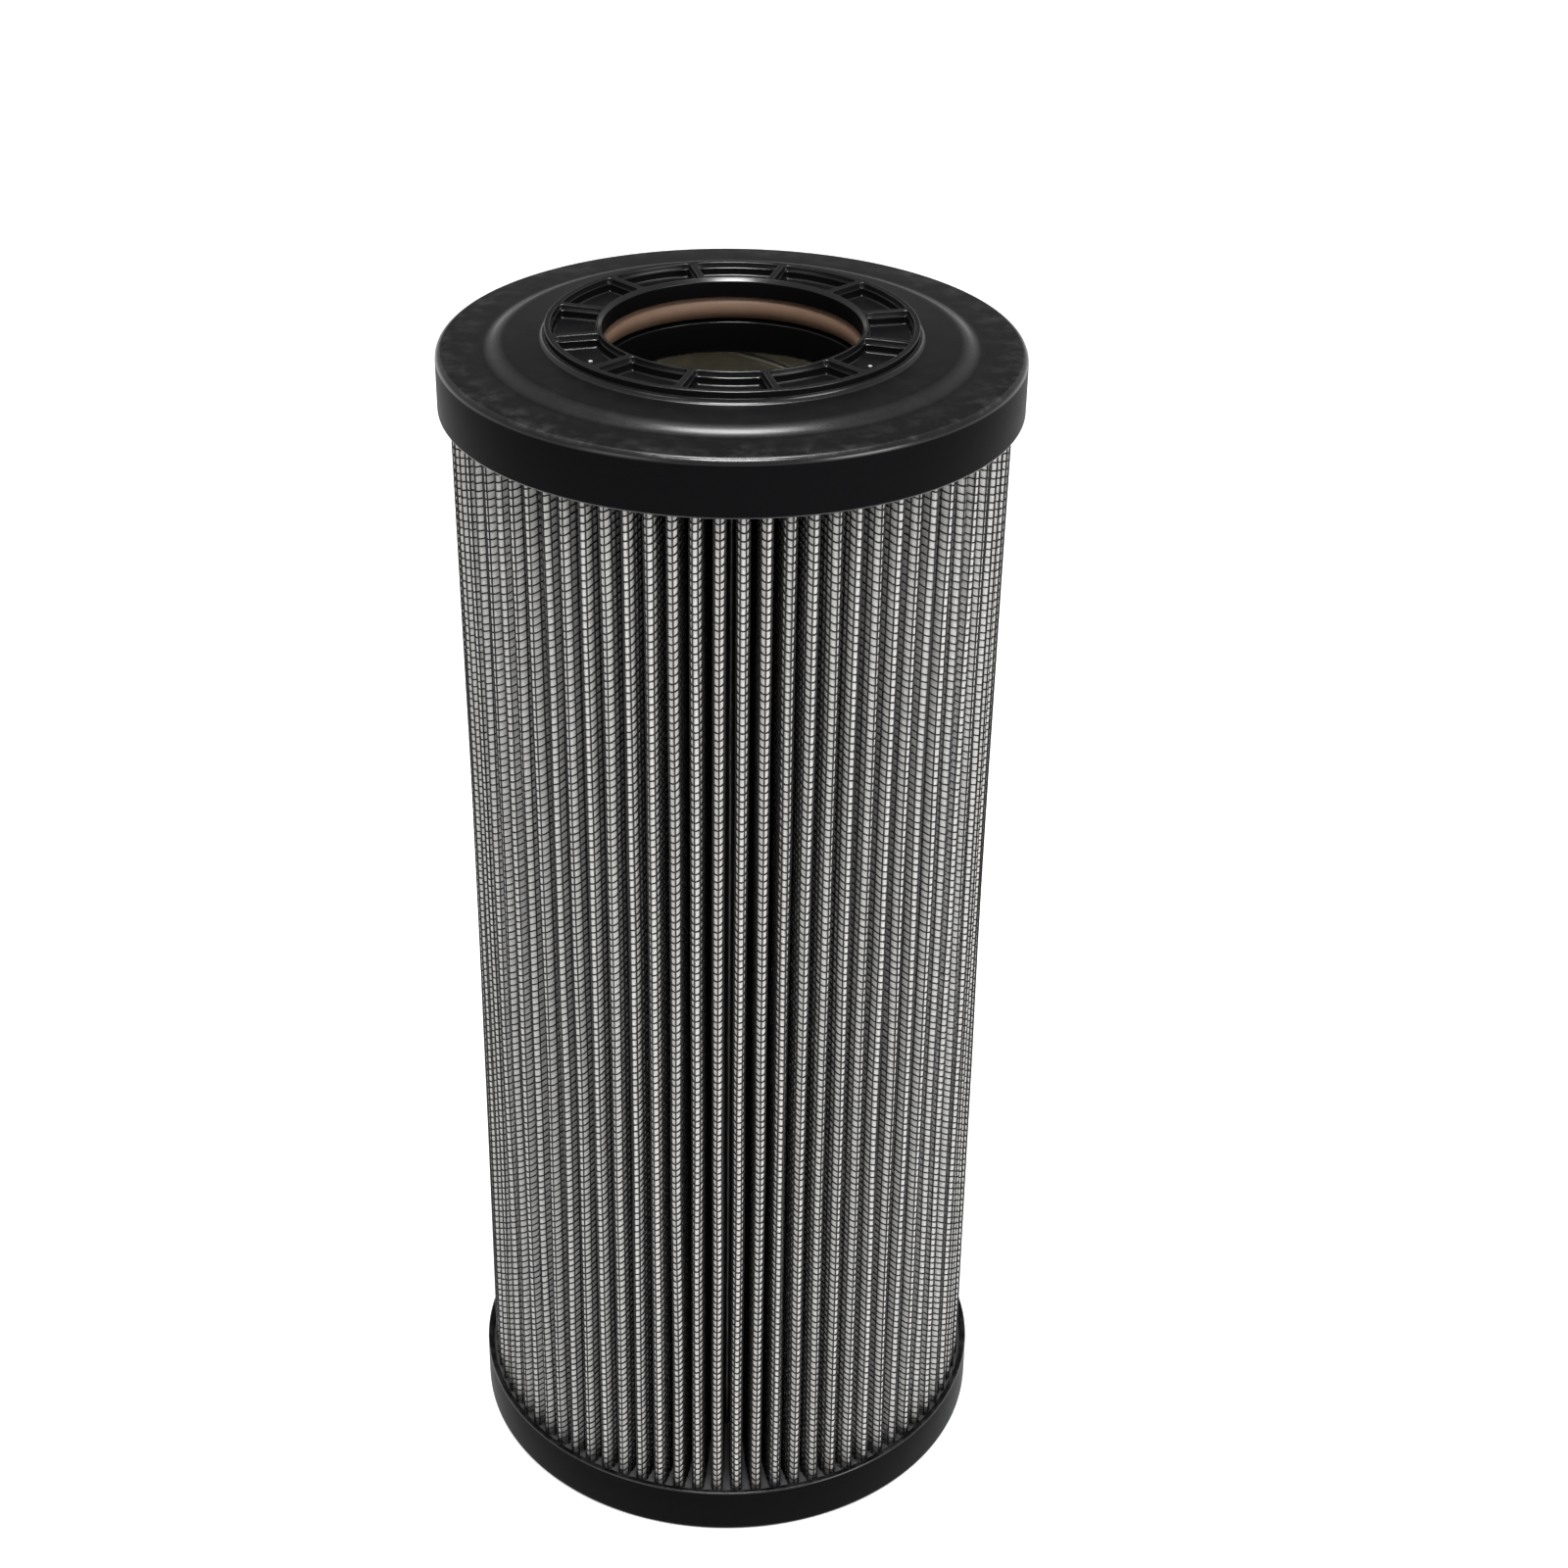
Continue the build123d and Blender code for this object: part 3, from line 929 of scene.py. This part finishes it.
# %% The tree of the perforated strip
def perforated_tube_tree():
    """A flat strip with round holes, rolled into a tube."""
    tree, sockets = new_tree(
        "perforated_tube", columns=hole_columns, rows=hole_rows, hole=hole_r, tube=tube_r,
    )
    wide = calc(tree, "MULTIPLY", sockets["columns"], 4.0)
    tall = calc(tree, "MULTIPLY", sockets["rows"], 4.0)
    strip = put(
        tree, "GeometryNodeMeshGrid", wide, tall,
        calc(tree, "ADD", wide, 1.0), calc(tree, "ADD", tall, 1.0),
    ).outputs[0]
    flat = put(tree, "ShaderNodeSeparateXYZ", put(tree, "GeometryNodeInputPosition").outputs[0]).outputs

    def cell_and_place(value, size):
        """The middle of the cell that a point is in, and its place beside that middle."""
        index = calc(tree, "ROUND", calc(tree, "ADD", value, calc(tree, "MULTIPLY", size, 0.5)))
        cell = calc(tree, "MULTIPLY", whole(tree, calc(tree, "DIVIDE", index, 4.0)), 4.0)
        inside = calc(tree, "GREATER_THAN", calc(tree, "SUBTRACT", index, cell), 0.5)
        return index, calc(tree, "ADD", cell, 2.0), inside

    column, middle_column, across = cell_and_place(flat[0], wide)
    row, middle_row, along = cell_and_place(flat[1], tall)
    from_end = calc(tree, "MINIMUM", middle_row, calc(tree, "SUBTRACT", tall, middle_row))
    drilled = calc(tree, "GREATER_THAN", from_end, 4.0 * plain_rows)
    in_hole = calc(tree, "MULTIPLY", calc(tree, "MULTIPLY", across, along), drilled)
    aside, above = calc(tree, "SUBTRACT", column, middle_column), calc(tree, "SUBTRACT", row, middle_row)
    reach = calc(tree, "SQRT", calc(
        tree, "ADD", calc(tree, "MULTIPLY", aside, aside), calc(tree, "MULTIPLY", above, above)
    ))
    centre = calc(tree, "MULTIPLY", in_hole, calc(tree, "LESS_THAN", reach, 0.5))
    holed = put(tree, "GeometryNodeDeleteGeometry", strip, centre, domain="POINT").outputs[0]

    def held(point, middle):
        """The middle of the cell for the points round a hole, and the point itself elsewhere."""
        return calc(tree, "MULTIPLY_ADD", calc(tree, "SUBTRACT", middle, point), in_hole, point)

    push = calc(tree, "MULTIPLY", calc(tree, "DIVIDE", sockets["hole"], reach), in_hole)
    level = held(row, middle_row)
    part = calc(tree, "ADD", held(column, middle_column), calc(tree, "MULTIPLY", level, 0.5))
    angle = calc(tree, "MULTIPLY", calc(tree, "DIVIDE", part, wide), 2 * pi)
    angle = calc(tree, "ADD", angle, calc(
        tree, "DIVIDE", calc(tree, "MULTIPLY", aside, push), sockets["tube"]
    ))
    share = calc(tree, "DIVIDE", level, tall)
    height = ranged(tree, share, 0.0, 1.0, tube_low.z, tube_high.z)
    height = calc(tree, "ADD", height, calc(tree, "MULTIPLY", above, push))
    rolled = put(
        tree, "GeometryNodeSetPosition", holed, None,
        put(
            tree, "ShaderNodeCombineXYZ",
            calc(tree, "MULTIPLY", sockets["tube"], calc(tree, "COSINE", angle)),
            calc(tree, "MULTIPLY", sockets["tube"], calc(tree, "SINE", angle)), height,
        ).outputs[0],
    ).outputs[0]
    closed = put(tree, "GeometryNodeMergeByDistance", rolled)
    closed.inputs["Distance"].default_value = 0.01
    finish_tree(tree, sockets, closed.outputs[0])
    return tree


steel = core_steel()
tube = grow("perforated_tube", perforated_tube_tree(), steel)
sheet = tube.modifiers.new("thickness", "SOLIDIFY")
sheet.thickness, sheet.offset = tube_wall * MM, 1.0
dress(tube, "core_steel", steel, "center_tube")


# %% [markdown]
# The seam is a rolled bead that climbs the inside of the tube. It is a helix of short
# steps with a round section, and it ends where the tube slides over the two caps.

# %% The tree of the seam
def seam_tree():
    """A round bead along a helix."""
    tree, sockets = new_tree(
        "spiral_seam", steps=300, pitch=39.0, phase=0.408, bead=0.7, tube=tube_r - 0.15,
        low=foot_low.z + 10.5, high=neck_z - 0.8,
    )
    line = put(
        tree, "GeometryNodeMeshLine", sockets["steps"], None, (0.0, 0.0, 0.0), (1.0, 0.0, 0.0),
        mode="OFFSET",
    ).outputs[0]
    place = put(tree, "GeometryNodeInputPosition").outputs[0]
    number = put(tree, "ShaderNodeSeparateXYZ", place).outputs[0]
    height = put(
        tree, "ShaderNodeMapRange", number, 0.0, calc(tree, "SUBTRACT", sockets["steps"], 1.0),
        sockets["low"], sockets["high"],
    ).outputs[0]
    angle = calc(tree, "MULTIPLY", calc(tree, "DIVIDE", height, sockets["pitch"]), 2 * pi)
    angle = calc(tree, "ADD", angle, sockets["phase"])
    wound = put(
        tree, "GeometryNodeSetPosition", line, None,
        put(
            tree, "ShaderNodeCombineXYZ",
            calc(tree, "MULTIPLY", sockets["tube"], calc(tree, "COSINE", angle)),
            calc(tree, "MULTIPLY", sockets["tube"], calc(tree, "SINE", angle)), height,
        ).outputs[0],
    ).outputs[0]
    section = put(tree, "GeometryNodeCurvePrimitiveCircle")
    section.inputs["Resolution"].default_value = 12
    tree.links.new(sockets["bead"], section.inputs["Radius"])
    bead = put(
        tree, "GeometryNodeCurveToMesh", put(tree, "GeometryNodeMeshToCurve", wound).outputs[0],
        section.outputs[0],
    )
    bead.inputs["Fill Caps"].default_value = True
    finish_tree(tree, sockets, bead.outputs[0])
    return tree


dress(grow("spiral_seam", seam_tree(), steel), "core_steel", steel, "center_tube")

# %% [markdown]
# ## Potting
# Adhesive creeps up a little where it wets a wall, so each ring of potting has a raised
# lip at its inner and outer edge.


# %% Potting rings
def potting_profile(floor, level, inner, outer, up):
    """A ring of adhesive whose free face, up or down, climbs at both walls."""
    creep = 0.8 * up
    return [
        Vector(point) for point in (
            (inner, floor), (inner, level + creep), (inner + 0.3, level + creep * 0.35),
            (inner + 1.2, level), (outer - 1.0, level), (outer - 0.25, level + creep * 0.4),
            (outer, level + creep), (outer, floor),
        )
    ]


resin = potting_resin()
for name, node, outer, up in (
    ("bottom_potting_ring", "bottom_potting", foot_high.x - foot_wall, 1),
    ("top_potting_ring", "top_potting", cap_r - skirt_wall, -1),
):
    low, high = box_mm(node)
    floor, level = (low.z, high.z) if up == 1 else (high.z, low.z)
    ring_mesh = bmesh.new()
    turned_faces(ring_mesh, potting_profile(floor, level, tube_high.x, outer, up), closed=True)
    dress(to_piece(name, ring_mesh, 60), "potting", resin, node)

# %% [markdown]
# ## Camera, light and floor
# The camera looks down on the cap from the front. Two soft lamps hang overhead, one a
# little to the front and one a little behind, and draw the bright lines on the rounded
# edges. Two more stand in front at the sides, the right one stronger. The world is pale
# at the horizon and dimmer above, as a studio is, so that black plastic stays black. The
# floor shines a little for rays that see it themselves, so it is white but for a shadow.


# %% The camera
camera_data = bpy.data.cameras.new("camera")
camera_data.lens = 61.36
camera_data.clip_start, camera_data.clip_end = 0.01, 20.0
camera = bpy.data.objects.new("camera", camera_data)
camera.matrix_world = (
    Matrix.Translation((0.0, -0.4067, 0.3660))
    @ Matrix.Rotation(radians(-1.33), 4, "Z")
    @ Matrix.Rotation(radians(90 - 29.9), 4, "X")
    @ Matrix.Rotation(radians(0.96), 4, "Z")
)
bpy.context.scene.collection.objects.link(camera)
bpy.context.scene.camera = camera


# %% The lamps
def soft_lamp(name, place, aim, wide, deep, power):
    """A flat soft lamp that looks at a point."""
    data = bpy.data.lights.new(name, "AREA")
    data.shape, data.size, data.size_y, data.energy = "RECTANGLE", wide, deep, power
    lamp = bpy.data.objects.new(name, data)
    lamp.location = place
    direction = Vector(aim) - Vector(place)
    lamp.rotation_mode = "QUATERNION"
    lamp.rotation_quaternion = direction.to_track_quat("-Z", "Y")
    bpy.context.scene.collection.objects.link(lamp)


middle, cap_top = (0.0, 0.0, 0.12), (0.0, 0.0, 0.2)
soft_lamp("overhead_front", (0.0, -0.38, 1.12), cap_top, 0.32, 0.24, 7.6)
soft_lamp("overhead_back", (0.0, 0.16, 1.15), cap_top, 0.36, 0.24, 5.0)
soft_lamp("front_left", (-0.9, -1.0, 0.6), middle, 0.6, 0.6, 1.7)
soft_lamp("front_right", (0.95, -0.8, 0.5), middle, 0.6, 0.6, 6.5)


# %% The floor and the world
def straight_rays(tree):
    """1 for rays that see a thing itself, in the picture, a reflection or through glass."""
    rays = put(tree, "ShaderNodeLightPath").outputs
    seen = calc(tree, "MAXIMUM", rays["Is Camera Ray"], rays["Is Glossy Ray"])
    return calc(tree, "MAXIMUM", seen, rays["Is Transmission Ray"])


world = bpy.data.worlds.new("world")
bpy.context.scene.world = world
world.use_nodes = True
sky = world.node_tree
direction = put(sky, "ShaderNodeTexCoord").outputs["Generated"]
climb = put(sky, "ShaderNodeSeparateXYZ", direction).outputs[2]
sky.nodes["Background"].inputs["Color"].default_value = (1, 1, 1, 1)
sky.links.new(ranged(sky, climb, 0.0, 0.15, 0.95, 0.34), sky.nodes["Background"].inputs["Strength"])

floor_data = bpy.data.meshes.new("floor")
reach = 6.0
floor_data.from_pydata(
    [(-reach, -reach, 0), (reach, -reach, 0), (reach, reach, 0), (-reach, reach, 0)],
    [], [(0, 1, 2, 3)],
)
floor = bpy.data.objects.new("floor", floor_data)
bpy.context.scene.collection.objects.link(floor)
floor_paint, floor_tree, floor_shader, _ = start_material("floor_paint", Roughness=0.9)
floor_shader.inputs["Base Color"].default_value = (0.82, 0.82, 0.82, 1)
floor_shader.inputs["Specular IOR Level"].default_value = 0.1
floor_shader.inputs["Emission Color"].default_value = (1, 1, 1, 1)
glow = ranged(floor_tree, straight_rays(floor_tree), 0.0, 1.0, 0.0, 0.62)
floor_tree.links.new(glow, floor_shader.inputs["Emission Strength"])
floor_data.materials.append(floor_paint)

bpy.context.scene.view_settings.view_transform = "Standard"
